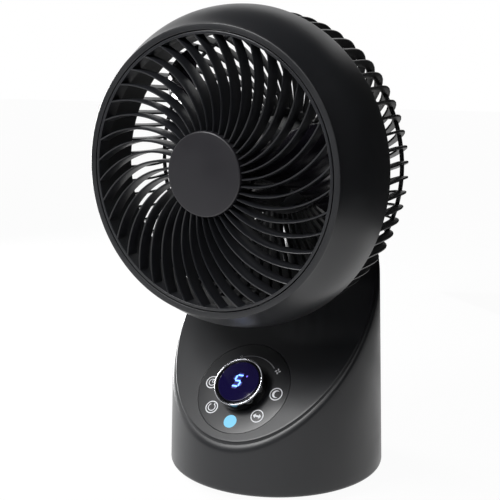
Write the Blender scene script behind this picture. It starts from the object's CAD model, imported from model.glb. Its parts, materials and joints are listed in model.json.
import json
import logging
import math
from dataclasses import dataclass
from enum import Enum
from functools import lru_cache

import bmesh
import bpy
import numpy as np
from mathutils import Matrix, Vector


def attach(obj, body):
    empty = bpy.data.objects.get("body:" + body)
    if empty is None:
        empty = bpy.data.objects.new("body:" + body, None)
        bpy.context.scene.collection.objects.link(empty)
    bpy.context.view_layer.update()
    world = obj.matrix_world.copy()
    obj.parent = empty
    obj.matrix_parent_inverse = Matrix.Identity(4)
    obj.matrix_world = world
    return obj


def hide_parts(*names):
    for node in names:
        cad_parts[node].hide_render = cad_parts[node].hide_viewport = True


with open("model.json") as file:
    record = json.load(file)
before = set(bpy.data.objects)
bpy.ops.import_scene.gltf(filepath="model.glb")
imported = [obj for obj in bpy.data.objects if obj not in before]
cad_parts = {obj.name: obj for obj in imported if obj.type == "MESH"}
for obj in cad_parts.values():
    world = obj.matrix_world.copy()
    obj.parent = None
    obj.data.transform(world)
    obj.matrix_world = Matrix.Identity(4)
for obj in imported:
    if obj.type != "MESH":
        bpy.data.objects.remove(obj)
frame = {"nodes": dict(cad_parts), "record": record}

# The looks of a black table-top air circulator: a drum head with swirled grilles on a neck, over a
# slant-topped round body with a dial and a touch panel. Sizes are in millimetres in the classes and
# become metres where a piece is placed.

Array = np.ndarray
Piece = bpy.types.Object
Tree = bpy.types.NodeTree
Node = bpy.types.Node
Spot = tuple[float, float, float]

LOG = logging.getLogger("circulator")
MM = 0.001
FULL_TURN = 2 * math.pi
WHITE = (1, 1, 1, 1)
MERGE_REACH = 2e-6  # metres within which points of a piece become one
SLIVER = 1e-7  # metres under which an edge is dropped


class Body(Enum):
    """The rigid bodies of the fan that pieces ride on."""

    FOOT = "foot"
    BODY = "body"
    DIAL = "dial"
    PINION = "pinion"
    HEAD = "head"
    ROTOR = "rotor"


class Slot(Enum):
    """The material slots of the record."""

    ABS = "black_abs"
    GRILLE = "grille_abs"
    CAP = "cap_abs"
    GLOSS = "panel_gloss"
    SMOKE = "impeller_smoke"
    GLASS = "display_glass"
    DIGIT = "digit_light"
    CHROME = "trim_chrome"
    STEEL = "steel"
    RUBBER = "pad_rubber"
    ACETAL = "gear_plastic"
    BOARD = "circuit_board"
    COPPER = "winding_copper"


# Finishes


def linear(hex_colour: str) -> tuple[float, float, float, float]:
    """Turns an sRGB hex colour into linear light.

    Each channel c is c / 12.92 below 0.04045, and ((c + 0.055) / 1.055) to the power 2.4 above it.
    """
    srgb = np.array([int(hex_colour[i : i + 2], 16) for i in (0, 2, 4)]) / 255
    light = np.where(srgb <= 0.04045, srgb / 12.92, ((srgb + 0.055) / 1.055) ** 2.4)
    return (float(light[0]), float(light[1]), float(light[2]), 1.0)


def add_node(tree: Tree, kind: str, settings: dict | None = None, **inputs: object) -> Node:
    """Adds a node with its settings and links.

    Args:
        tree: the node tree that it goes into.
        kind: the node's type name.
        settings: properties of the node itself.
        inputs: a value or an output socket for each input, by its name with _ for spaces.

    Returns:
        The new node.
    """
    node = tree.nodes.new(kind)
    for key, value in (settings or {}).items():
        setattr(node, key, value)
    for key, value in inputs.items():
        name = key.replace("_", " ")
        numbered = key[0] == "i" and key[1:].isdigit()
        socket = node.inputs[int(key[1:]) if numbered else name]
        if isinstance(value, bpy.types.NodeSocket):
            tree.links.new(value, socket)
        else:
            socket.default_value = value
    return node


@dataclass(frozen=True)
class Finish:
    """A real material and how its surface was made, as a procedural Principled surface.

    The grain is a fine noise bump whose size is the moulding's spark-eroded texture, drawn about
    twice as coarse as the real one so that it shows. The mottle is a broad, slight change of
    roughness, as handling and flow lines leave on a moulded face.
    """

    name: str
    colour: str
    second: str
    roughness: float
    metallic: float = 0.0
    ior: float = 1.5
    specular: float = 0.5
    grain_mm: float = 0.9
    grain_height_mm: float = 0.02
    grain_strength: float = 0.35
    mottle_mm: float = 45.0
    mottle: float = 0.05
    coat: float = 0.0
    coat_roughness: float = 0.05
    glow: str = ""
    glow_strength: float = 0.0

    def noise(self, tree: Tree, place: bpy.types.NodeSocket, size_mm: float, detail: float) -> Node:
        """A noise whose features are about size_mm across."""
        sizes = dict(Scale=1 / (size_mm * MM), Detail=detail, Roughness=0.55)
        return add_node(tree, "ShaderNodeTexNoise", None, Vector=place, **sizes)

    @lru_cache(maxsize=None)
    def build(self) -> bpy.types.Material:
        """Makes the material.

        Returns:
            The material, made once for each finish.
        """
        material = bpy.data.materials.new(self.name)
        material.use_nodes = True
        tree = material.node_tree
        tree.nodes.clear()
        place = add_node(tree, "ShaderNodeTexCoord").outputs["Object"]
        broad = self.noise(tree, place, self.mottle_mm, 3.0).outputs["Fac"]
        fine = self.noise(tree, place, self.grain_mm, 2.0).outputs["Fac"]
        rgba, one, two = {"data_type": "RGBA"}, linear(self.colour), linear(self.second)
        tint = add_node(tree, "ShaderNodeMix", rgba, i0=broad, i6=one, i7=two).outputs[2]
        low, high = self.roughness - self.mottle, self.roughness + self.mottle
        span = dict(From_Min=0.3, From_Max=0.7, To_Min=low, To_Max=high)
        rough = add_node(tree, "ShaderNodeMapRange", None, Value=broad, **span).outputs[0]
        grain = dict(Strength=self.grain_strength, Distance=self.grain_height_mm * MM, Height=fine)
        bump = add_node(tree, "ShaderNodeBump", None, **grain)
        looks = dict(
            Base_Color=tint, Roughness=rough, Normal=bump.outputs[0], Metallic=self.metallic, IOR=self.ior
        )
        coat = dict(Coat_Weight=self.coat, Coat_Roughness=self.coat_roughness)
        surface = add_node(
            tree, "ShaderNodeBsdfPrincipled", None, **looks, Specular_IOR_Level=self.specular, **coat
        )
        if self.glow:
            surface.inputs["Emission Color"].default_value = linear(self.glow)
            surface.inputs["Emission Strength"].default_value = self.glow_strength
        add_node(tree, "ShaderNodeOutputMaterial", None, Surface=surface.outputs[0])
        return material


# Black ABS, injection moulded with a fine spark texture: a soft, wide sheen over near-black.
SATIN_ABS = Finish("satin_abs", "1c1d20", "222326", 0.38, ior=1.54)
# The same ABS with a finer texture: the grille, a shade lighter where its edges catch the light.
GRILLE_ABS = Finish("grille_abs", "1f2023", "25262a", 0.32, ior=1.54, grain_mm=0.7)
# Black ABS, brushed lightly after moulding: the cap in the middle of the grille.
CAP_ABS = Finish("cap_abs", "1d1c20", "222126", 0.38, ior=1.54, grain_mm=0.7)
# Black ABS with a smoother mould: the slanted deck.
DECK_ABS = Finish(
    "deck_abs", "1b1c1f", "1f2023", 0.33, ior=1.54, grain_mm=0.8, grain_height_mm=0.006, mottle=0.012
)
# The same ABS, polished a little more: the control panel.
PANEL_ABS = Finish(
    "panel_abs", "191a1d", "1c1d20", 0.31, ior=1.54, grain_mm=0.8, grain_height_mm=0.005, mottle=0.01
)
# Gloss black acrylic, polished mould: mirror-like, with the body's black under it.
GLOSS_ACRYLIC = Finish(
    "gloss_acrylic", "0b0b0e", "0d0d10", 0.09, ior=1.49, grain_mm=6, grain_height_mm=0.01,
    grain_strength=0.08, mottle=0.02,
)
# Smoke-tinted polycarbonate, polished: the impeller's blades.
SMOKE_PC = Finish(
    "smoke_polycarbonate", "15131a", "1b1820", 0.16, ior=1.58, grain_mm=5, grain_strength=0.1, mottle=0.03
)
# Chromed ABS, polished plating: the trim ring on the dial.
CHROME = Finish(
    "chrome_plate", "bcbdc2", "a9aab0", 0.16, metallic=1.0, grain_mm=4, grain_strength=0.06, mottle=0.03
)
# Tinted window glass over the display, flame polished: indigo in the depth, lit from below.
WINDOW_GLASS = Finish(
    "window_glass", "0a0820", "0c0a26", 0.05, ior=1.52, grain_mm=8, grain_strength=0.03, mottle=0.01,
    glow="140c3c", glow_strength=0.45,
)
# Lit segments of a blue digit under the window.
LIT_SEGMENT = Finish("lit_segment", "6fa8ff", "8fc0ff", 0.4, glow="7db4ff", glow_strength=1.6)
# The halo that the segments throw into the tinted window.
LIT_HALO = Finish("lit_halo", "1a2a90", "2236a8", 0.4, glow="2038b8", glow_strength=0.9)
# The faint outer haze of the same light.
LIT_HAZE = Finish("lit_haze", "100c40", "120e48", 0.3, glow="18124e", glow_strength=0.8)
# A violet point of the display.
LIT_POINT = Finish("lit_point", "5a4ad0", "6a5ae0", 0.4, glow="6a58d8", glow_strength=1.0)
# Silver-white screen print on the panel, a dull ink film.
PRINT_INK = Finish("print_ink", "e4e6ea", "eceef2", 0.55, grain_mm=0.6)
# The same ink printed thin.
PRINT_THIN = Finish("print_thin", "8a8c92", "96989e", 0.55, grain_mm=0.6)
# A cyan backlit disc of translucent ink.
CYAN_INK = Finish("cyan_backlit_ink", "62b4d8", "70bcde", 0.4, glow="5cb0d8", glow_strength=0.3)
# Black nitrile rubber, moulded: matt feet.
RUBBER = Finish("black_rubber", "121212", "181818", 0.85, ior=1.52, grain_mm=1.2, grain_strength=0.6)
# Turned steel with a plain finish.
STEEL = Finish("turned_steel", "8d8f92", "9b9da0", 0.34, metallic=1.0, grain_mm=0.6, grain_strength=0.25)
# Natural acetal, moulded: waxy off-white gears.
ACETAL = Finish("natural_acetal", "dcd9cf", "e4e1d8", 0.42, ior=1.48)
# Glass-epoxy board with green solder mask.
BOARD = Finish("solder_mask", "0f4a25", "13552b", 0.38, ior=1.55, grain_mm=1.5)
# Enamelled copper wire in the windings.
COPPER = Finish("enamelled_copper", "8a4a20", "9c5828", 0.35, metallic=1.0, grain_mm=0.8, grain_strength=0.6)

CAD_FINISHES = {
    slot.value: finish
    for slot, finish in {
        Slot.ABS: SATIN_ABS, Slot.GRILLE: GRILLE_ABS, Slot.CAP: CAP_ABS, Slot.GLOSS: GLOSS_ACRYLIC,
        Slot.SMOKE: SMOKE_PC, Slot.GLASS: WINDOW_GLASS, Slot.DIGIT: LIT_SEGMENT, Slot.CHROME: CHROME,
        Slot.STEEL: STEEL, Slot.RUBBER: RUBBER, Slot.ACETAL: ACETAL, Slot.BOARD: BOARD, Slot.COPPER: COPPER,
    }.items()
}


# Shapes


@dataclass
class Shape:
    """Points in millimetres and the faces between them."""

    points: Array
    faces: list[Array]

    @staticmethod
    def joined(shapes: "list[Shape]") -> "Shape":
        """Puts shapes side by side into one."""
        starts = np.cumsum([0] + [len(shape.points) for shape in shapes[:-1]])
        faces = [face + start for shape, start in zip(shapes, starts) for face in shape.faces]
        return Shape(np.concatenate([shape.points for shape in shapes]), faces)

    def turned(self, count: int) -> "Shape":
        """Copies the shape evenly round the local z axis.

        Copy n is turned by n full turns over count: x' = x cos a - y sin a, y' = x sin a + y cos a.
        """
        angle = np.arange(count) * FULL_TURN / count
        c, s, zero, one = np.cos(angle), np.sin(angle), np.zeros(count), np.ones(count)
        turns = np.stack([c, -s, zero, s, c, zero, zero, zero, one], -1).reshape(-1, 3, 3)
        points = np.einsum("nij,pj->npi", turns, self.points).reshape(-1, 3)
        starts = (np.arange(count) * len(self.points))[:, None, None]
        faces = [(face[None] + starts).reshape(-1, face.shape[1]) for face in self.faces]
        return Shape(points, faces)

    def moved(self, x: float = 0.0, y: float = 0.0, z: float = 0.0) -> "Shape":
        """The shape moved by x, y and z."""
        return Shape(self.points + np.array([x, y, z]), self.faces)


def grid(points: Array, wrap_rows: bool, wrap_columns: bool) -> Shape:
    """Joins a grid of points into quads."""
    rows, columns = points.shape[:2]
    down = np.arange(rows if wrap_rows else rows - 1)
    over = np.arange(columns if wrap_columns else columns - 1)
    i, j = np.meshgrid(down, over, indexing="ij")
    k, m = (i + 1) % rows, (j + 1) % columns
    quads = np.stack([i * columns + j, k * columns + j, k * columns + m, i * columns + m], -1)
    return Shape(points.reshape(-1, 3), [quads.reshape(-1, 4)])


def loft(sections: Array) -> Shape:
    """Skins a row of closed sections and caps its two ends."""
    count, corners = sections.shape[:2]
    skin = grid(sections, False, True)
    first = np.arange(corners)[None]
    return Shape(skin.points, [*skin.faces, first, first + (count - 1) * corners])


def revolve(profile: Array, facets: int = 192) -> Shape:
    """Turns a closed profile about the local z axis: x = r cos a, y = r sin a, z = h."""
    angle = np.arange(facets) * FULL_TURN / facets
    radius, height = profile[:, 0], profile[:, 1]
    x, y = np.outer(np.cos(angle), radius), np.outer(np.sin(angle), radius)
    return grid(np.stack([x, y, np.tile(height, (facets, 1))], -1), True, True)


def rounded(corners: list[tuple[float, float, float]], steps: int = 6) -> Array:
    """Rounds the corners of a closed outline.

    At each corner p the curve is (1-u)^2 a + 2u(1-u) p + u^2 b for u from 0 to 1, where a and b lie
    on the two sides at the corner's reach from p.
    """
    table = np.array(corners, float)
    spot, reach = table[:, :2], table[:, 2:]
    back, ahead = np.roll(spot, 1, 0) - spot, np.roll(spot, -1, 0) - spot
    start = spot + back / np.linalg.norm(back, axis=1, keepdims=True) * reach
    end = spot + ahead / np.linalg.norm(ahead, axis=1, keepdims=True) * reach
    u = np.linspace(0, 1, steps)[None, :, None]
    curve = (1 - u) ** 2 * start[:, None] + 2 * u * (1 - u) * spot[:, None] + u * u * end[:, None]
    return curve.reshape(-1, 2)


def lathe(corners: list[tuple[float, float, float]], facets: int, steps: int = 6) -> Shape:
    """Turns an outline of radius, height and rounding for each corner about the local z axis."""
    return revolve(rounded(corners, steps), facets)


def bezier(points: list[tuple[float, float]], steps: int) -> Array:
    """A cubic Bezier curve through four control points.

    The point at u is (1-u)^3 p0 + 3u(1-u)^2 p1 + 3u^2(1-u) p2 + u^3 p3.
    """
    p = np.array(points, float)
    u = np.linspace(0, 1, steps)[:, None]
    return (1 - u) ** 3 * p[0] + 3 * u * (1 - u) ** 2 * p[1] + 3 * u * u * (1 - u) * p[2] + u**3 * p[3]


def prism(outline: Array, low: float, high: float) -> Shape:
    """A flat outline in local x and y raised from low to high along z."""
    count = len(outline)
    bottom = np.column_stack([outline, np.full(count, low)])
    top = np.column_stack([outline, np.full(count, high)])
    return loft(np.stack([bottom, top]))


def pointed_stroke(start: Array, end: Array, width: float, point: float) -> Array:
    """The outline of a straight stroke with pointed ends."""
    run = (end - start) / np.linalg.norm(end - start)
    side, tip = np.array([-run[1], run[0]]) * width / 2, run * point / 2
    return np.array([start, start + side + tip, end + side - tip, end, end - side - tip, start - side + tip])


def flat_band(
    inner: float, outer: float, start: float, end: float, low: float, high: float, steps: int = 48
) -> Shape:
    """A flat arc band between two radii and two angles in degrees, raised from low to high."""
    angle = np.radians(np.linspace(start, end, steps))
    ring = np.stack([np.cos(angle), np.sin(angle)], -1)
    inner_edge, outer_edge = ring * inner, ring * outer
    corners = [(inner_edge, low), (outer_edge, low), (outer_edge, high), (inner_edge, high)]
    sections = np.stack([np.column_stack([edge, np.full(steps, z)]) for edge, z in corners], 1)
    if abs(end - start) >= 360:
        return grid(sections[:-1], True, True)
    return loft(sections)


@dataclass(frozen=True)
class Place:
    """A local frame in the fan's frame, in millimetres."""

    origin: tuple[float, float, float]
    across: tuple[float, float, float] = (1.0, 0.0, 0.0)
    up: tuple[float, float, float] = (0.0, 1.0, 0.0)
    along: tuple[float, float, float] = (0.0, 0.0, 1.0)

    def put(self, points: Array) -> Array:
        """Carries local points into the fan's frame, in metres.

        A point is origin + x across + y up + z along.
        """
        basis = np.array([self.across, self.up, self.along], float)
        return (points @ basis + np.array(self.origin, float)) * MM

    def carry(self, shape: Shape) -> Shape:
        """The shape carried into the fan's frame, still in millimetres."""
        return Shape(self.put(shape.points) / MM, shape.faces)


def linked(name: str, data: bpy.types.ID) -> Piece:
    """Makes an object of some data and links it into the scene."""
    thing = bpy.data.objects.new(name, data)
    bpy.context.scene.collection.objects.link(thing)
    return thing


def make_piece(
    name: str,
    shape: Shape,
    place: Place,
    body: Body,
    finish: Finish,
    replaced: tuple[str, ...] = (),
    sharp: float = 34.0,
) -> Piece:
    """Makes one finished piece that rides on a body.

    Args:
        name: the piece's name.
        shape: its shape in the local frame.
        place: where the local frame is.
        body: the body that it rides on.
        finish: its material.
        replaced: the nodes that it stands for.
        sharp: edges over this angle, in degrees, stay sharp.

    Returns:
        The object, at the origin, with its place in its mesh.
    """
    mesh = bpy.data.meshes.new(name)
    faces = [face for group in shape.faces for face in group.tolist()]
    mesh.from_pydata(place.put(shape.points).tolist(), [], faces)
    built = bmesh.new()
    built.from_mesh(mesh)
    bmesh.ops.remove_doubles(built, verts=built.verts, dist=MERGE_REACH)
    bmesh.ops.dissolve_degenerate(built, edges=built.edges, dist=SLIVER)
    bmesh.ops.recalc_face_normals(built, faces=built.faces)
    built.to_mesh(mesh)
    built.free()
    mesh.shade_smooth()
    mesh.set_sharp_from_angle(angle=math.radians(sharp))
    piece = linked(name, mesh)
    piece.data.materials.append(finish.build())
    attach(piece, body.value)
    if replaced:
        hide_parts(*replaced)
    LOG.info("%s: %d faces", name, len(mesh.polygons))
    return piece


# Shared places

SHIFT = 10.35  # the body's axis behind the frame's origin
SLANT = math.radians(46.28)
CUT_HEIGHT = 137.4
DECK_RISE = 1.8
PANEL_SLOPE = 77.0023
AXIS_HEIGHT = 262.7667
HEAD_FRONT = -96.45

SLOPE = (0.0, math.cos(SLANT), math.sin(SLANT))
SQUARE = (0.0, -math.sin(SLANT), math.cos(SLANT))
UPRIGHT = Place((0.0, SHIFT, 0.0))
HEAD = Place((0.0, HEAD_FRONT, AXIS_HEIGHT), (1.0, 0.0, 0.0), (0.0, 0.0, 1.0), (0.0, 1.0, 0.0))
WHOLE = Place((0.0, 0.0, 0.0))
HINGE = Place((0.0, SHIFT + 45.0, AXIS_HEIGHT), (0.0, 1.0, 0.0), (0.0, 0.0, 1.0), (1.0, 0.0, 0.0))
DECK = Place(
    (
        0.0,
        SHIFT - PANEL_SLOPE * SLOPE[1] + DECK_RISE * SQUARE[1],
        CUT_HEIGHT - PANEL_SLOPE * SLOPE[2] + DECK_RISE * SQUARE[2],
    ),
    (1.0, 0.0, 0.0),
    SLOPE,
    SQUARE,
)


# Foot


@dataclass
class Foot:
    """The disc that stands still, with its rubber pads."""

    radius: float = 74.0
    underside: float = 1.5
    top: float = 6.5
    rim_top: float = 12.0
    pad_radius: float = 8.0
    pad_circle: float = 60.0
    shoulder: float = 14.1
    gear_seat: float = 14.5
    hub_top: float = 31.7

    def plate(self) -> Shape:
        """The foot plate with its rim, hub and bore."""
        r, rim, hub, bore = self.radius, self.radius - 3.5, 26.5, 9
        return lathe(
            [
                (bore, self.underside, 0.6), (r, self.underside, 1.2), (r, self.rim_top, 0.8),
                (rim, self.rim_top, 0.8), (rim, self.top, 0.5), (hub, self.top, 0.4),
                (hub, self.shoulder, 0.4), (self.gear_seat, self.shoulder, 0.3),
                (self.gear_seat, self.hub_top, 0.4), (bore, self.hub_top, 0.4),
            ],
            128,
        )

    def pad(self, number: int) -> Shape:
        """One rubber pad with a rolled lower edge; number counts round from the first."""
        angle = math.radians(45 + 90 * number)
        r, x, y = self.pad_radius, self.pad_circle * math.cos(angle), self.pad_circle * math.sin(angle)
        return lathe([(0, 0, 0), (r, 0, 0.9), (r, 3, 0.3), (0, 3, 0)], 48).moved(x, y)

    def dress(self) -> None:
        """Makes the foot's pieces."""
        make_piece("foot_disc", self.plate(), UPRIGHT, Body.FOOT, SATIN_ABS, ("foot_plate",))
        for number in range(4):
            name = f"foot_pad_{number + 1}"
            make_piece(f"rubber_{name}", self.pad(number), UPRIGHT, Body.FOOT, RUBBER, (name,))


# Turning body


@dataclass
class TurningBody:
    """The slant-topped housing, its deck and the neck."""

    bottom: float = 6.5
    radius: float = 91.1
    draft: float = 0.03
    wall: float = 3.0
    bottom_rounding: float = 4.0
    rim_rounding: float = 2.5
    deck_inset: float = 2.6
    deck_rounding: float = 0.6
    groove_radius: float = 40.8
    neck_y: float = 45.0
    neck_low: float = 19.0
    neck_top: float = AXIS_HEIGHT - 17.5
    tongue_radius: float = 13.0
    tongue_half: float = 6.0

    def cut_height(self, sine: Array, inset: Array, rise: Array) -> Array:
        """The height at which a slanted plane meets the drafted wall.

        The plane is z = h + t y with t the tangent of the slant, and the wall is at
        y = (R - i - k (z - b)) sin a, so z = (h + t sin a (R - i + k b)) / (1 + t k sin a).
        """
        t, k = math.tan(SLANT), self.draft
        level = CUT_HEIGHT + rise / math.cos(SLANT)
        return (level + t * sine * (self.radius - inset + k * self.bottom)) / (1 + t * k * sine)

    def housing(self, facets: int = 256) -> Shape:
        """The round housing cut off on a slant.

        Each column of the grid is one place on the wall's section: the rounded lower edge, the drafted
        outside, the rounded upper edge, the cut face, and the inside down to the open bottom. Its height
        is a share of the way from the bottom to the cut.

        Args:
            facets: steps round the body.

        Returns:
            The closed shape.
        """
        angle = np.arange(facets) * FULL_TURN / facets
        sine = np.sin(angle)[:, None]
        roll = np.linspace(0, np.pi / 2, 7)
        low_inset = self.bottom_rounding * (1 - np.sin(roll))
        low_height = self.bottom + self.bottom_rounding * (1 - np.cos(roll))
        rim_inset = self.rim_rounding * (1 - np.cos(roll))
        rim_rise = -self.rim_rounding * (1 - np.sin(roll))
        start = self.bottom + self.bottom_rounding
        zero = np.zeros(1)
        share = np.linspace(0, 1, 14)[None, 1:-1]
        edge = self.cut_height(sine, rim_inset[None, :1], rim_rise[None, :1])
        outside = start + (edge - start) * share
        rim = self.cut_height(sine, rim_inset[None], rim_rise[None])
        inner_top = self.cut_height(sine, zero + self.wall, zero)
        inner = inner_top + (self.bottom - inner_top) * np.linspace(0, 1, 8)[None]
        heights = np.concatenate([np.broadcast_to(low_height, (facets, 7)), outside, rim, inner], 1)
        insets = np.concatenate([low_inset, np.zeros(12), rim_inset, np.full(8, self.wall)])[None]
        radius = self.radius - self.draft * (heights - self.bottom) - insets
        points = np.stack([radius * np.cos(angle)[:, None], radius * sine, heights], -1)
        return grid(points, True, True)

    def deck_reach(self, angle: Array, inset: float, rise: float) -> Array:
        """How far from the panel's middle the deck's edge lies, in the deck's own plane.

        A point at reach p is x = p cos a, y = y0 + p sin a cos s, z = z0 + p sin a sin s, and it is on the
        wall where x^2 + y^2 = (R - i - k (z - b))^2, which is a quadratic in p.
        """
        a, b, c = np.cos(angle), np.sin(angle) * math.cos(SLANT), np.sin(angle) * math.sin(SLANT)
        y0 = DECK.origin[1] - SHIFT + rise * SQUARE[1]
        z0 = DECK.origin[2] + rise * SQUARE[2]
        k = self.draft
        m = self.radius - inset - k * (z0 - self.bottom)
        square = a * a + b * b - (k * c) ** 2
        linear_term = y0 * b + m * k * c
        return (-linear_term + np.sqrt(linear_term**2 - square * (y0 * y0 - m * m))) / square

    def deck(self, facets: int = 288) -> Shape:
        """The slanted deck plate with the round recess for the panel.

        Each row of the grid is one direction from the panel's middle. Its columns run over the top to the
        rounded edge, down the side, back under the plate and up the wall of the recess.

        Args:
            facets: how many directions.

        Returns:
            The closed shape, in the deck's frame.
        """
        angle = np.arange(facets) * FULL_TURN / facets
        f = self.deck_rounding
        roll = np.linspace(0, np.pi / 2, 6)
        top_reach = self.deck_reach(angle, self.deck_inset + f, 0.0)[:, None]
        top = self.groove_radius + (top_reach - self.groove_radius) * np.linspace(0, 1, 16)[None]
        edges = [(self.deck_inset + f * (1 - np.sin(r)), -f * (1 - np.cos(r))) for r in roll]
        corner = np.stack([self.deck_reach(angle, inset, rise) for inset, rise in edges], 1)
        low = -DECK_RISE + 0.3
        side = self.deck_reach(angle, self.deck_inset, low)[:, None]
        recess = np.full((facets, 1), self.groove_radius)
        reach = np.concatenate([top, corner, side, recess], 1)
        height = np.concatenate([np.zeros(16), -f * (1 - np.cos(roll)), [low, low]])
        x, y = reach * np.cos(angle)[:, None], reach * np.sin(angle)[:, None]
        return grid(np.stack([x, y, np.tile(height, (facets, 1))], -1), True, True)

    def neck(self) -> Shape:
        """The tapered neck."""
        low, top = self.neck_low, self.neck_top
        corners = [(8, low, 0.2), (19.5, low, 0.4), (16, top, 3.2), (8, top, 0.0)]
        return lathe(corners, 96).moved(0, self.neck_y)

    def tongue(self) -> Shape:
        """The flat tongue on the neck, with its round end about the tilt axis."""
        arc = np.radians(np.linspace(0, 180, 40))
        r = self.tongue_radius
        end = np.stack([r * np.cos(arc), r * np.sin(arc)], -1)
        outline = np.concatenate([end, [[-r, -18.5], [r, -18.5]]])
        return prism(outline, -self.tongue_half, self.tongue_half)

    def dress(self) -> None:
        """Makes the body's pieces."""
        make_piece("body_shell", self.housing(), UPRIGHT, Body.BODY, SATIN_ABS, ("base_housing",))
        make_piece("slanted_deck", self.deck(), DECK, Body.BODY, DECK_ABS, ("deck_cover",))
        neck = Shape.joined([UPRIGHT.carry(self.neck()), HINGE.carry(self.tongue())])
        make_piece("tapered_neck", neck, WHOLE, Body.BODY, SATIN_ABS, ("neck_column",))


# Control panel and dial


class Mark(Enum):
    """The printed touch marks, each with its angle round the panel in degrees."""

    TIMER = 180.0
    TURN = 225.0
    POWER = 270.0
    SWING = 315.0
    NIGHT = 0.0


@dataclass
class ControlPanel:
    """The gloss panel with its printed marks, the dial and the display."""

    radius: float = 40.5
    thickness: float = 1.5
    bore: float = 18.0
    mark_circle: float = 30.3
    mark_radius: float = 5.6
    line: float = 0.85
    ink: float = 0.05
    dial_radius: float = 21.4
    window_radius: float = 17.6
    digit_x: float = -0.6
    digit_y: float = 0.6
    digit_width: float = 5.6
    digit_height: float = 10.0
    digit_lean: float = 0.18
    segment: float = 1.25

    def panel(self) -> Shape:
        """The flat ring of the panel, with a slight bevel on its edge."""
        t = self.thickness
        r, bore = self.radius, self.bore
        return lathe([(bore, -t, 0), (r, -t, 0), (r, 0, 0.35), (bore, 0, 0.1)], 192)

    def disc(self, radius: float, x: float = 0.0, y: float = 0.0) -> Shape:
        """A filled printed disc."""
        angle = np.arange(48) * FULL_TURN / 48
        return prism(np.stack([radius * np.cos(angle) + x, radius * np.sin(angle) + y], -1), 0.01, self.ink)

    def band(self, inner: float, outer: float, start: float = 0.0, end: float = 360.0) -> Shape:
        """A printed arc."""
        return flat_band(inner, outer, start, end, 0.01, self.ink)

    def bar(self, x0: float, y0: float, x1: float, y1: float, width: float) -> Shape:
        """A printed straight stroke with pointed ends, from one point to another."""
        outline = pointed_stroke(np.array([x0, y0]), np.array([x1, y1]), width, width)
        return prism(outline, 0.01, self.ink)

    def crescent(self) -> Shape:
        """A crescent: a disc's edge on the left and a smaller disc's edge on the right."""
        outer = np.radians(np.linspace(50, 310, 36))
        inner = np.radians(np.linspace(285, 75, 30))
        edge = np.stack([3.4 * np.cos(outer), 3.4 * np.sin(outer)], -1)
        bite = np.stack([1.25 + 2.7 * np.cos(inner), 2.7 * np.sin(inner)], -1)
        return prism(np.concatenate([edge, bite]), 0.01, self.ink)

    def symbol(self, mark: Mark) -> list[Shape]:
        """The plain symbol inside a mark's circle."""
        rim = self.band(self.mark_radius - self.line, self.mark_radius)
        if mark is Mark.TIMER:
            return [rim, self.band(2.5, 3.2), self.bar(0, 0, 0, 2.2, 0.6), self.bar(0, 0, 1.6, 0, 0.6)]
        if mark is Mark.TURN:
            return [rim, self.band(2.7, 3.4, 120, 420), self.bar(1.7, 4.1, 1.4, 2.0, 0.7)]
        if mark is Mark.SWING:
            heads = [self.bar(side * 3.4, 0, side * 1.4, y, 0.8) for side in (-1, 1) for y in (1.7, -1.7)]
            return [rim, self.bar(-3.2, 0, 3.2, 0, 1.5), *heads]
        return [rim, self.crescent()]

    def petals(self, size: float) -> Shape:
        """A small fan symbol of four petals."""
        turn = np.linspace(0, FULL_TURN, 24, endpoint=False)
        petal = np.stack([size * (0.62 + 0.38 * np.cos(turn)), size * 0.30 * np.sin(turn + 0.6)], -1)
        return prism(petal, 0.01, self.ink).turned(4)

    def level_arc(self) -> Shape:
        """The thin arc that widens round the top of the dial, from its first angle to its last."""
        angle = np.radians(np.linspace(112, 47, 60))
        half = np.linspace(0.12, 0.45, 60)
        ring = np.stack([np.cos(angle), np.sin(angle)], -1)
        middle = self.mark_circle - 0.6
        inner, outer = ring * (middle - half)[:, None], ring * (middle + half)[:, None]
        corners = [(inner, 0.01), (outer, 0.01), (outer, self.ink), (inner, self.ink)]
        return loft(np.stack([np.column_stack([edge, np.full(60, z)]) for edge, z in corners], 1))

    def marks(self) -> None:
        """Prints the touch marks on the panel."""
        for mark in Mark:
            angle = math.radians(mark.value)
            x, y = self.mark_circle * math.cos(angle), self.mark_circle * math.sin(angle)
            if mark is Mark.POWER:
                shape, ink = self.disc(self.mark_radius, x, y), CYAN_INK
            else:
                shape, ink = Shape.joined(self.symbol(mark)).moved(x, y), PRINT_INK
            self.mark(mark.name.lower(), shape, ink)
        self.mark("level_arc", self.level_arc(), PRINT_THIN)
        self.mark("fan_high", self.petals(2.6).moved(24.2, 19.8), PRINT_INK)
        self.mark("fan_low", self.petals(1.5).moved(-13.2, 27.2), PRINT_THIN)

    def mark(self, name: str, shape: Shape, ink: Finish) -> None:
        """Prints one mark on the panel."""
        make_piece(f"mark_{name}", shape, DECK, Body.BODY, ink)

    def sleeve(self) -> Shape:
        """The dial's gloss sleeve."""
        r = self.dial_radius - 0.3
        seat, low, high, top = 19.3, 0.4, 9.8, 11.2
        foot, lip = [(self.bore, low, 0.2), (r - 0.4, low, 0.4)], [(seat, top, 0.2), (self.bore, top, 0.2)]
        return lathe([*foot, (r, high, 0.2), (seat, high, 0), *lip], 160)

    def trim(self) -> Shape:
        """The chrome ring: a low, rounded roof section."""
        r = self.dial_radius
        roof = [(r, 11.3, 0.45), (r - 0.9, 11.8, 0.5), (r - 1.8, 11.2, 0.3)]
        return lathe([(r - 1.8, 10.1, 0.1), (r, 10.1, 0.2), *roof], 192)

    def window(self) -> Shape:
        """The display window with a slightly rounded edge."""
        r = self.window_radius
        return lathe([(0, 10.5, 0), (r, 10.5, 0), (r, 11.5, 0.3), (0, 11.5, 0)], 128)

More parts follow.
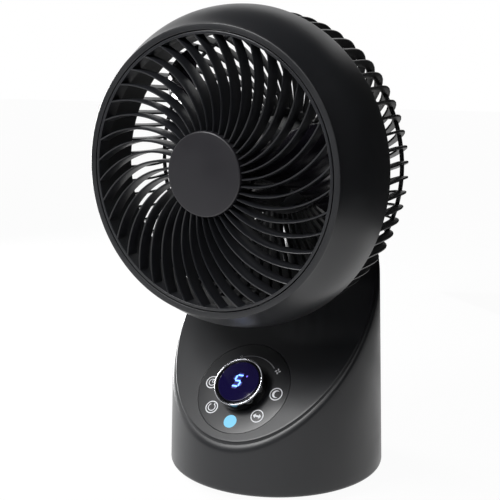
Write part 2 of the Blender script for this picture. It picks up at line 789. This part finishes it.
    def leaned(self, outline: Array) -> Array:
        """Leans an outline to the right in step with its height, and moves it to the digit's place."""
        x = outline[:, 0] + outline[:, 1] * self.digit_lean + self.digit_x
        return np.stack([x, outline[:, 1] + self.digit_y], -1)

    def segment_bar(
        self, x0: float, y0: float, x1: float, y1: float, width: float, level: float
    ) -> Shape:
        """One lit segment between two corners of the digit, with pointed ends."""
        start, end = np.array([x0, y0]), np.array([x1, y1])
        run = (end - start) / np.linalg.norm(end - start)
        corners = pointed_stroke(start + run * 0.25, end - run * 0.25, width, self.segment)
        return prism(self.leaned(corners), level, level + 0.01)

    def digit(self, width: float, level: float) -> Shape:
        """The digit 5, five of the seven segments, at a stroke width and a level over the window."""
        w, h = self.digit_width / 2, self.digit_height / 2
        ends = [(-w, h, w, h), (-w, 0, -w, h), (-w, 0, w, 0), (w, -h, w, 0), (-w, -h, w, -h)]
        return Shape.joined([self.segment_bar(*row, width, level) for row in ends])

    def dress(self) -> None:
        """Makes the panel's, the dial's and the display's pieces."""
        make_piece("gloss_panel", self.panel(), DECK, Body.BODY, PANEL_ABS, ("control_panel",))
        self.marks()
        make_piece("dial_side", self.sleeve(), DECK, Body.DIAL, GLOSS_ACRYLIC, ("dial_sleeve",))
        make_piece("dial_chrome_ring", self.trim(), DECK, Body.DIAL, CHROME, ("dial_trim",))
        window = self.window()
        make_piece("display_glass", window, DECK, Body.BODY, WINDOW_GLASS, ("display_window",))
        layers = ((LIT_HAZE, 4.4), (LIT_HALO, 2.7), (LIT_SEGMENT, self.segment))
        for count, (finish, width) in enumerate(layers):
            name = f"display_digit_{count + 1}"
            make_piece(name, self.digit(width, 11.51 + 0.02 * count), DECK, Body.BODY, finish)
        point = self.disc(0.8).moved(self.digit_x + 6.6, self.digit_y + 5.0, 11.5)
        make_piece("display_point", point, DECK, Body.BODY, LIT_POINT)


# Head


@dataclass
class Drum:
    """The drum housing: an outer skin that swells to the rear rim, and an inner duct."""

    front_radius: float = 109.7
    rim_radius: float = 125.0
    depth: float = 50.0
    wall: float = 2.6
    duct_radius: float = 104.7
    duct_wall: float = 2.2
    duct_depth: float = 46.0

    def side(self, inset: float, start: float, steps: int) -> Array:
        """The side's curve, at a distance inside the surface and from a position behind the front."""
        r0, r1 = self.front_radius - inset, self.rim_radius - inset
        return bezier([(r0, start), (r0 + 16 * 0.42, 16), (r1, self.depth - 26), (r1, self.depth)], steps)

    def shape(self) -> Shape:
        """The drum as one turned section."""
        roll = np.linspace(0, np.pi / 2, 6)
        front = np.stack([self.front_radius - 0.9 + 0.9 * np.sin(roll), 0.9 * (1 - np.cos(roll))], -1)
        lip = np.stack([self.duct_radius + 0.5 * (1 - np.sin(roll)), 0.5 * (1 - np.cos(roll))], -1)[::-1]
        outside = self.side(0.0, 0.9, 44)[1:-1]
        rim_r, rim_s = self.rim_radius - 0.6 * (1 - np.cos(roll)), self.depth - 0.6 * (1 - np.sin(roll))
        rim = np.stack([rim_r, rim_s], -1)
        inside = self.side(self.wall, self.wall, 24)[::-1]
        duct = self.duct_radius + self.duct_wall
        tail = np.array([(duct, self.wall), (duct, self.duct_depth), (self.duct_radius, self.duct_depth)])
        outside = outside[outside[:, 1] < self.depth - 0.7]
        return revolve(np.concatenate([lip, front, outside, rim, inside, tail]), 256)

    def dress(self) -> None:
        """Makes the drum."""
        make_piece("head_drum", self.shape(), HEAD, Body.HEAD, SATIN_ABS, ("drum_housing",))


@dataclass
class FrontGrille:
    """The front grille: swirled vanes between a ring and a hub, and the cap on the hub."""

    vanes: int = 40
    first_turn: float = 4.3
    sweep: float = 29.1
    sweep_power: float = 1.22
    thickness: float = 1.9
    back: float = 11.5
    recess: float = 0.2
    dish: float = 3.7
    ring_radius: float = 103.9
    ring_width: float = 2.3
    ring_depth: float = 12.0
    hub_radius: float = 31.4
    hub_wall: float = 3.0
    cap_radius: float = 32.3
    cap_proud: float = 5.0
    steps: int = 34

    def vane(self) -> Shape:
        """One vane.

        At the share u of the way out, the radius is r0 + (r1 - r0) u, the angle is first + sweep u^power
        and the front edge is at recess - dish (1 - u), so that the grille swells towards its cap. The
        section is a slab with a rounded front edge, as wide as the thickness square to the vane's run.

        Returns:
            The closed vane.
        """
        u = np.linspace(0, 1, self.steps)
        r0, r1 = self.hub_radius - self.hub_wall / 2, self.ring_radius - self.ring_width / 2
        radius = r0 + (r1 - r0) * u
        sweep = math.radians(self.sweep)
        angle = math.radians(self.first_turn) + sweep * u**self.sweep_power
        rate = sweep * self.sweep_power * np.maximum(u, 1e-3) ** (self.sweep_power - 1) / (r1 - r0)
        lean = np.cos(np.arctan(radius * rate))
        h = self.thickness / 2
        across = np.array([-h, -0.85 * h, -0.45 * h, 0, 0.45 * h, 0.85 * h, h])
        edge = (self.recess - self.dish * (1 - u))[:, None]
        share = np.array([1, 0.1, 0.025, 0, 0.025, 0.1, 1])[None]
        behind = edge + (self.back - edge) * share
        turn = angle[:, None] + across[None] / (radius * lean)[:, None]
        spread = np.broadcast_to(radius[:, None], turn.shape)
        return loft(np.stack([spread * np.cos(turn), spread * np.sin(turn), behind], -1))

    def shape(self) -> Shape:
        """The whole grille."""
        r, inner = self.ring_radius, self.ring_radius - self.ring_width
        h, w, d = self.hub_radius, self.hub_wall, self.ring_depth
        ring = lathe([(inner, 0.2, 0.5), (r, 0.2, 0.6), (r, d, 0.2), (inner, d, 0.2)], 256)
        cup = [(h, 0.1, 0.3), (h, d, 0.3), (h - w, d, 0.3), (h - w, w, 0.5)]
        hub = lathe([(0, 0.1, 0), *cup, (0, w, 0)], 128)
        return Shape.joined([ring, hub, self.vane().turned(self.vanes)])

    def cap(self) -> Shape:
        """The cap: a shallow dish with a crisp rounded edge and a skirt."""
        r, p = self.cap_radius, self.cap_proud
        top = [(0, -p, 0), (r - 0.5, -p + 0.25, 1.3), (r, -0.3, 0.3)]
        return lathe([*top, (r - 2, -0.3, 0.2), (r - 2, -p + 2, 0.5), (0, -p + 2, 0)], 192, 8)

    def dress(self) -> None:
        """Makes the grille and its cap."""
        make_piece("swirl_grille", self.shape(), HEAD, Body.HEAD, GRILLE_ABS, ("front_grille",))
        make_piece("grille_cap_disc", self.cap(), HEAD, Body.HEAD, CAP_ABS, ("grille_cap",))


@dataclass
class RearGrille:
    """The rear cage: swirled ribs from the rim ring round the corner to the hub, with one hoop."""

    ribs: int = 64
    start: float = 50.3
    radius: float = 122.4
    length: float = 73.0
    roundness: float = 5.0
    thickness: float = 2.0
    depth: float = 6.0
    first_turn: float = 2.64
    skew: float = -3.2
    back_sweep: float = 27.0
    drum_depth: float = 50.0
    ring_depth: float = 4.2
    hub_outer: float = 44.2
    hub_width: float = 6.0
    rim_inner: float = 112.4
    rim_outer: float = 123.4
    hoop: tuple[float, float, float, float] = (110.4, 113.4, 101.5, 104.5)

    def turns(self, inset: float) -> Array:
        """Where along the profile the sections lie: evenly along the side, then evenly across the back."""
        power = self.roundness / 2
        half = math.sqrt(0.5) ** (2 / self.roundness)
        first = self.ring_depth / 2 / (self.length - inset)
        last = (self.hub_outer - self.hub_width / 2) / (self.radius - inset)
        side = np.arcsin(np.linspace(first, half, 14) ** power)
        back = np.arccos(np.linspace(half, last, 18)[1:] ** power)
        return np.concatenate([side, back])

    def profile(self, inset: float) -> tuple[Array, Array]:
        """A quarter of a superellipse: radius R cos(t)^(2/n) and position L sin(t)^(2/n)."""
        turn, power = self.turns(inset), 2 / self.roundness
        radius = (self.radius - inset) * np.cos(turn) ** power
        return radius, self.start + (self.length - inset) * np.sin(turn) ** power

    def rib(self) -> Shape:
        """One rib.

        Its angle is first minus the sum of (s - d) tan(skew) / R along the side and sweep (1 - r / R)
        across the back. Its section runs from the rounded outer edge to the inner edge.

        Returns:
            The closed rib.
        """
        outer_r, outer_s = self.profile(0.0)
        inner_r, inner_s = self.profile(self.depth)
        side = (outer_s - self.drum_depth) * math.tan(math.radians(self.skew)) / self.radius
        back = math.radians(self.back_sweep) * np.maximum(0, 1 - outer_r / self.radius)
        angle = math.radians(self.first_turn) - side - back
        h = self.thickness / 2
        across = np.array([-0.85 * h, -h, -0.72 * h, 0, 0.72 * h, h, 0.85 * h])[None]
        deep = np.array([1, 0.12, 0.03, 0, 0.03, 0.12, 1])[None]
        radius = outer_r[:, None] + (inner_r - outer_r)[:, None] * deep
        place = outer_s[:, None] + (inner_s - outer_s)[:, None] * deep
        turn = angle[:, None] + across / radius
        return loft(np.stack([radius * np.cos(turn), radius * np.sin(turn), place], -1))

    def ring(self, inner: float, outer: float, low: float, high: float, soft: float) -> Shape:
        """A plain ring of the cage with softened corners."""
        corners = [(inner, low), (outer, low), (outer, high), (inner, high)]
        return lathe([(r, z, soft) for r, z in corners], 192, 5)

    def shape(self) -> Shape:
        """The whole cage."""
        end = self.start + self.length
        rim = self.ring(self.rim_inner, self.rim_outer, self.start, self.start + self.ring_depth, 0.5)
        hub = self.ring(self.hub_outer - self.hub_width, self.hub_outer, end - 9.7, end + 0.8, 0.6)
        hoop = self.ring(*self.hoop, 1.0)
        return Shape.joined([rim, hub, hoop, self.rib().turned(self.ribs)])

    def dress(self) -> None:
        """Makes the cage."""
        make_piece("rear_cage", self.shape(), HEAD, Body.HEAD, SATIN_ABS, ("rear_grille",))


@dataclass
class MotorPod:
    """The motor's housing behind the impeller, with the two ears of the tilt hinge."""

    radius: float = 37.8
    wall: float = 2.8
    front: float = 72.0
    back: float = 124.4
    rim_radius: float = 44.0
    hinge: float = 151.8
    ear_inner: float = 7.8
    ear_thickness: float = 6.0
    ear_radius: float = 13.0

    def cup(self) -> Shape:
        """The cup with its rear rim and bearing seat."""
        r, w, b, rim = self.radius, self.wall, self.back, self.rim_radius
        side = [(r - w, self.front, 0.3), (r, self.front, 0.4), (r, b, 0.3), (rim, b, 0.4)]
        floor = [(rim, b + 2.5, 0.8), (r, b + 3, 0.6), (0, b + 3, 0), (0, b, 0), (r - w, b, 0.4)]
        return lathe([*side, *floor], 128)

    def ear(self, side: int) -> Shape:
        """One ear of the hinge, with a round end about the tilt axis; side is 1 or -1."""
        arc = np.radians(np.linspace(-90, 90, 36))
        r, reach = self.ear_radius, self.back + 2 - self.hinge
        end = np.stack([r * np.cos(arc), r * np.sin(arc)], -1)
        outline = np.concatenate([end, [[reach, r], [reach, -r]]])
        low = self.ear_inner if side > 0 else -self.ear_inner - self.ear_thickness
        return prism(outline, low, low + self.ear_thickness)

    def dress(self) -> None:
        """Makes the pod."""
        pod = Shape.joined([HEAD.carry(self.cup()), *(HINGE.carry(self.ear(side)) for side in (1, -1))])
        make_piece("motor_pod", pod, WHOLE, Body.HEAD, SATIN_ABS, ("motor_housing",))


@dataclass
class Impeller:
    """The impeller: wide swept blades on a cup hub, held by a nut."""

    blades: int = 3
    rest_turn: float = 18.0
    tip_radius: float = 97.0
    hub_radius: float = 31.0
    hub_wall: float = 2.5
    front: float = 15.0
    hub_length: float = 45.0
    thickness: float = 2.2
    root_chord: float = 46.0
    tip_chord: float = 40.0
    root_depth: float = 40.0
    tip_depth: float = 33.0
    sweep: float = -18.0
    camber: float = 4.0
    middle: float = 38.0

    def blade(self, span_steps: int = 26, chord_steps: int = 22) -> Shape:
        """One blade.

        With span v from root to tip and c from -1/2 to 1/2 across the chord, the radius is
        r0 + (r1 - r0) v, the angle is rest + sweep v^1.6 + chord(v) c g, and the position is
        middle + depth(v) c g minus the camber's bow 1 - 4 c^2, where g = 1 - 0.16 v^6 rounds the tip.
        The thickness thins to both edges.

        Args:
            span_steps: steps from root to tip.
            chord_steps: steps from edge to edge.

        Returns:
            The closed blade.
        """
        v = np.linspace(0, 1, span_steps)[:, None]
        across = np.linspace(0, 1, chord_steps)[None] - 0.5
        root = self.hub_radius - self.hub_wall / 2
        radius = root + (self.tip_radius - root) * v + 0 * across
        tip = 1 - 0.16 * v**6
        chord = self.root_chord + (self.tip_chord - self.root_chord) * v
        depth = self.root_depth + (self.tip_depth - self.root_depth) * v
        angle = np.radians(self.rest_turn + self.sweep * v**1.6 + chord * across * tip)
        place = self.middle + depth * across * tip - self.camber * (1 - 4 * across**2)
        half = self.thickness / 2 * (0.3 + 0.7 * np.sqrt(np.maximum(0, 1 - (2 * across) ** 4)))
        front = np.stack([radius * np.cos(angle), radius * np.sin(angle), place - half], -1)
        rear = np.stack([radius * np.cos(angle), radius * np.sin(angle), place + half], -1)
        return loft(np.concatenate([front, rear[:, ::-1]], 1))

    def hub(self) -> Shape:
        """The cup hub with its bore."""
        r, f, b = self.hub_radius, self.front, self.front + self.hub_length
        inside = r - self.hub_wall
        bore, boss, floor = 4.3, 9, f + 2.5
        shell = [(bore, f, 0.2), (r, f, 7.5), (r, b, 0.5), (inside, b, 0.5)]
        return lathe([*shell, (inside, floor, 6), (boss, floor, 0.5), (boss, b, 0.4), (bore, b, 0.2)], 128, 9)

    def dress(self) -> None:
        """Makes the impeller."""
        shape = Shape.joined([self.hub(), self.blade().turned(self.blades)])
        make_piece("smoke_impeller", shape, HEAD, Body.ROTOR, SMOKE_PC, ("impeller",), sharp=50.0)


# Studio


# The black cloths, each with its four corners, and the softboxes, each with its place, the point
# that it faces, its width and height, and its power in watts. All places are in metres.
FLAGS = {
    "flag_right": [(1.0, -1.6, 0), (0.66, -0.2, 0), (0.66, -0.2, 1.5), (1.0, -1.6, 1.3)],
    "flag_right_rear": [(0.66, -0.2, 0), (0.36, 0.36, 0), (0.36, 0.36, 0.9), (0.66, -0.2, 1.5)],
    "flag_rear": [(0.36, 0.36, 0), (-0.12, 0.72, 0), (-0.12, 0.72, 0.35), (0.36, 0.36, 0.9)],
    "flag_front": [(1.0, -1.6, 0), (-1.4, -0.9, 0), (-1.4, -0.9, 1.2), (1.0, -1.6, 1.2)],
    "flag_top": [(1.6, -2.6, 2.0), (1.6, 1.5, 2.0), (-2.6, 1.5, 2.0), (-2.6, -2.6, 2.0)],
}
LAMPS = {
    "softbox_key": ((-0.378, -0.803, 0.953), (0, -0.06, 0.09), (0.4, 0.5), 11.0),
    "softbox_left": ((-1.1, 0.25, 0.31), (0, 0, 0.15), (0.4, 0.6), 24.0),
    "softbox_front": ((0.5, -1.3, 1.55), (0, 0, 0.2), (0.9, 0.9), 7.0),
}


@dataclass
class Studio:
    """The camera, the lamps, the pale floor and the white background."""

    eye: tuple[float, float, float] = (418.91, -734.23, 346.88)
    yaw: float = 30.89
    pitch: float = -10.5
    lens: float = 74.47
    sensor: float = 36.0
    lighting: float = 0.45
    floor_glow: float = 0.96
    floor_half: float = 6.0

    def camera(self) -> None:
        """Sets the camera where the photograph was taken from."""
        yaw, pitch = math.radians(self.yaw), math.radians(self.pitch)
        forward = Vector((-math.sin(yaw) * math.cos(pitch), math.cos(yaw) * math.cos(pitch), math.sin(pitch)))
        data = bpy.data.cameras.new("camera")
        data.lens, data.sensor_width, data.clip_end = self.lens, self.sensor, 50.0
        camera = linked("camera", data)
        camera.location = Vector(self.eye) * MM
        camera.rotation_mode = "QUATERNION"
        camera.rotation_quaternion = forward.to_track_quat("-Z", "Y")
        bpy.context.scene.camera = camera

    def lamp(self, name: str, place: Spot, aim: Spot, size: tuple[float, float], watts: float) -> None:
        """Adds a rectangular softbox."""
        data = bpy.data.lights.new(name, "AREA")
        data.shape = "RECTANGLE"
        data.size, data.size_y, data.energy = size[0], size[1], watts
        lamp = linked(name, data)
        lamp.location = place
        lamp.rotation_mode = "QUATERNION"
        lamp.rotation_quaternion = (Vector(aim) - Vector(place)).to_track_quat("-Z", "Y")

    def seen(self, tree: Tree) -> bpy.types.NodeSocket:
        """A socket that is 1 for what the camera, a mirror or glass sees, and 0 for lighting rays."""
        rays = add_node(tree, "ShaderNodeLightPath").outputs
        most = {"operation": "MAXIMUM"}
        first = add_node(tree, "ShaderNodeMath", most, i0=rays["Is Camera Ray"], i1=rays["Is Glossy Ray"])
        return add_node(
            tree, "ShaderNodeMath", most, i0=first.outputs[0], i1=rays["Is Transmission Ray"]
        ).outputs[0]

    def world(self) -> None:
        """A world that is white where it is seen and softer where it only lights."""
        world = bpy.data.worlds.new("white_studio")
        world.use_nodes = True
        tree = world.node_tree
        tree.nodes.clear()
        level = add_node(
            tree, "ShaderNodeMapRange", None, Value=self.seen(tree), To_Min=self.lighting, To_Max=1.0
        ).outputs[0]
        background = add_node(tree, "ShaderNodeBackground", None, Color=WHITE, Strength=level)
        add_node(tree, "ShaderNodeOutputWorld", None, Surface=background.outputs[0])
        bpy.context.scene.world = world

    def flag(self, name: str, corners: list[Spot]) -> None:
        """Hangs a black cloth that shades and darkens reflections but isn't seen itself."""
        material = bpy.data.materials.get("black_cloth") or bpy.data.materials.new("black_cloth")
        material.use_nodes = True
        cloth = material.node_tree.nodes["Principled BSDF"]
        cloth.inputs["Base Color"].default_value = linear("161616")
        cloth.inputs["Roughness"].default_value = 0.95
        flag = self.sheet(name, corners, material)
        flag.visible_camera = False

    def sheet(self, name: str, corners: list[Spot], material: bpy.types.Material) -> Piece:
        """A flat four-cornered piece of the studio; corners are in metres."""
        mesh = bpy.data.meshes.new(name)
        mesh.from_pydata(corners, [], [(0, 1, 2, 3)])
        sheet = linked(name, mesh)
        sheet.data.materials.append(material)
        return sheet

    def floor(self) -> None:
        """A plain pale floor that shows white and keeps the object's shadow."""
        material = bpy.data.materials.new("pale_floor")
        material.use_nodes = True
        tree = material.node_tree
        tree.nodes.clear()
        paint = add_node(tree, "ShaderNodeBsdfDiffuse", None, Color=linear("f4f4f4"))
        glow = add_node(tree, "ShaderNodeEmission", None, Color=WHITE, Strength=1.0).outputs[0]
        times = {"operation": "MULTIPLY"}
        share = add_node(tree, "ShaderNodeMath", times, i0=self.seen(tree), i1=self.floor_glow).outputs[0]
        mixed = add_node(tree, "ShaderNodeMixShader", None, i0=share, i1=paint.outputs[0], i2=glow)
        add_node(tree, "ShaderNodeOutputMaterial", None, Surface=mixed.outputs[0])
        h = self.floor_half
        floor = self.sheet("floor", [(-h, -h, 0), (h, -h, 0), (h, h, 0), (-h, h, 0)], material)

    def dress(self) -> None:
        """Sets up the studio."""
        bpy.context.scene.view_settings.view_transform = "Standard"
        self.camera()
        self.world()
        self.floor()
        for name, corners in FLAGS.items():
            self.flag(name, corners)
        for name, (place, aim, size, watts) in LAMPS.items():
            self.lamp(name, place, aim, size, watts)


def dress_nodes() -> None:
    """Gives every node that still shows its finish."""
    slots = {row["node"]: row["material_slot"] for row in frame["record"]["subparts"]}
    shown = [(name, node) for name, node in frame["nodes"].items() if not node.hide_render]
    for name, node in shown:
        finish = CAD_FINISHES[slots[name]].build()
        if node.material_slots:
            node.material_slots[0].material = finish
        else:
            node.data.materials.append(finish)
    LOG.info("%d inner nodes keep their shape", len(shown))


def rows(corners: tuple[Vector, Vector]) -> list[list[float]]:
    """The two corners of a box as plain lists."""
    return [[round(value, 5) for value in corner] for corner in corners]


def main() -> None:
    """Builds the fan's sub-assemblies in order."""
    logging.basicConfig(level=logging.INFO, format="%(name)s: %(message)s")
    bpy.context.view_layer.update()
    Studio().dress()
    head = (Drum(), FrontGrille(), RearGrille(), MotorPod(), Impeller())
    for part in (Foot(), TurningBody(), ControlPanel(), *head):
        part.dress()
        LOG.info("%s is done", type(part).__name__)
    dress_nodes()


if __name__ == "__main__":
    main()
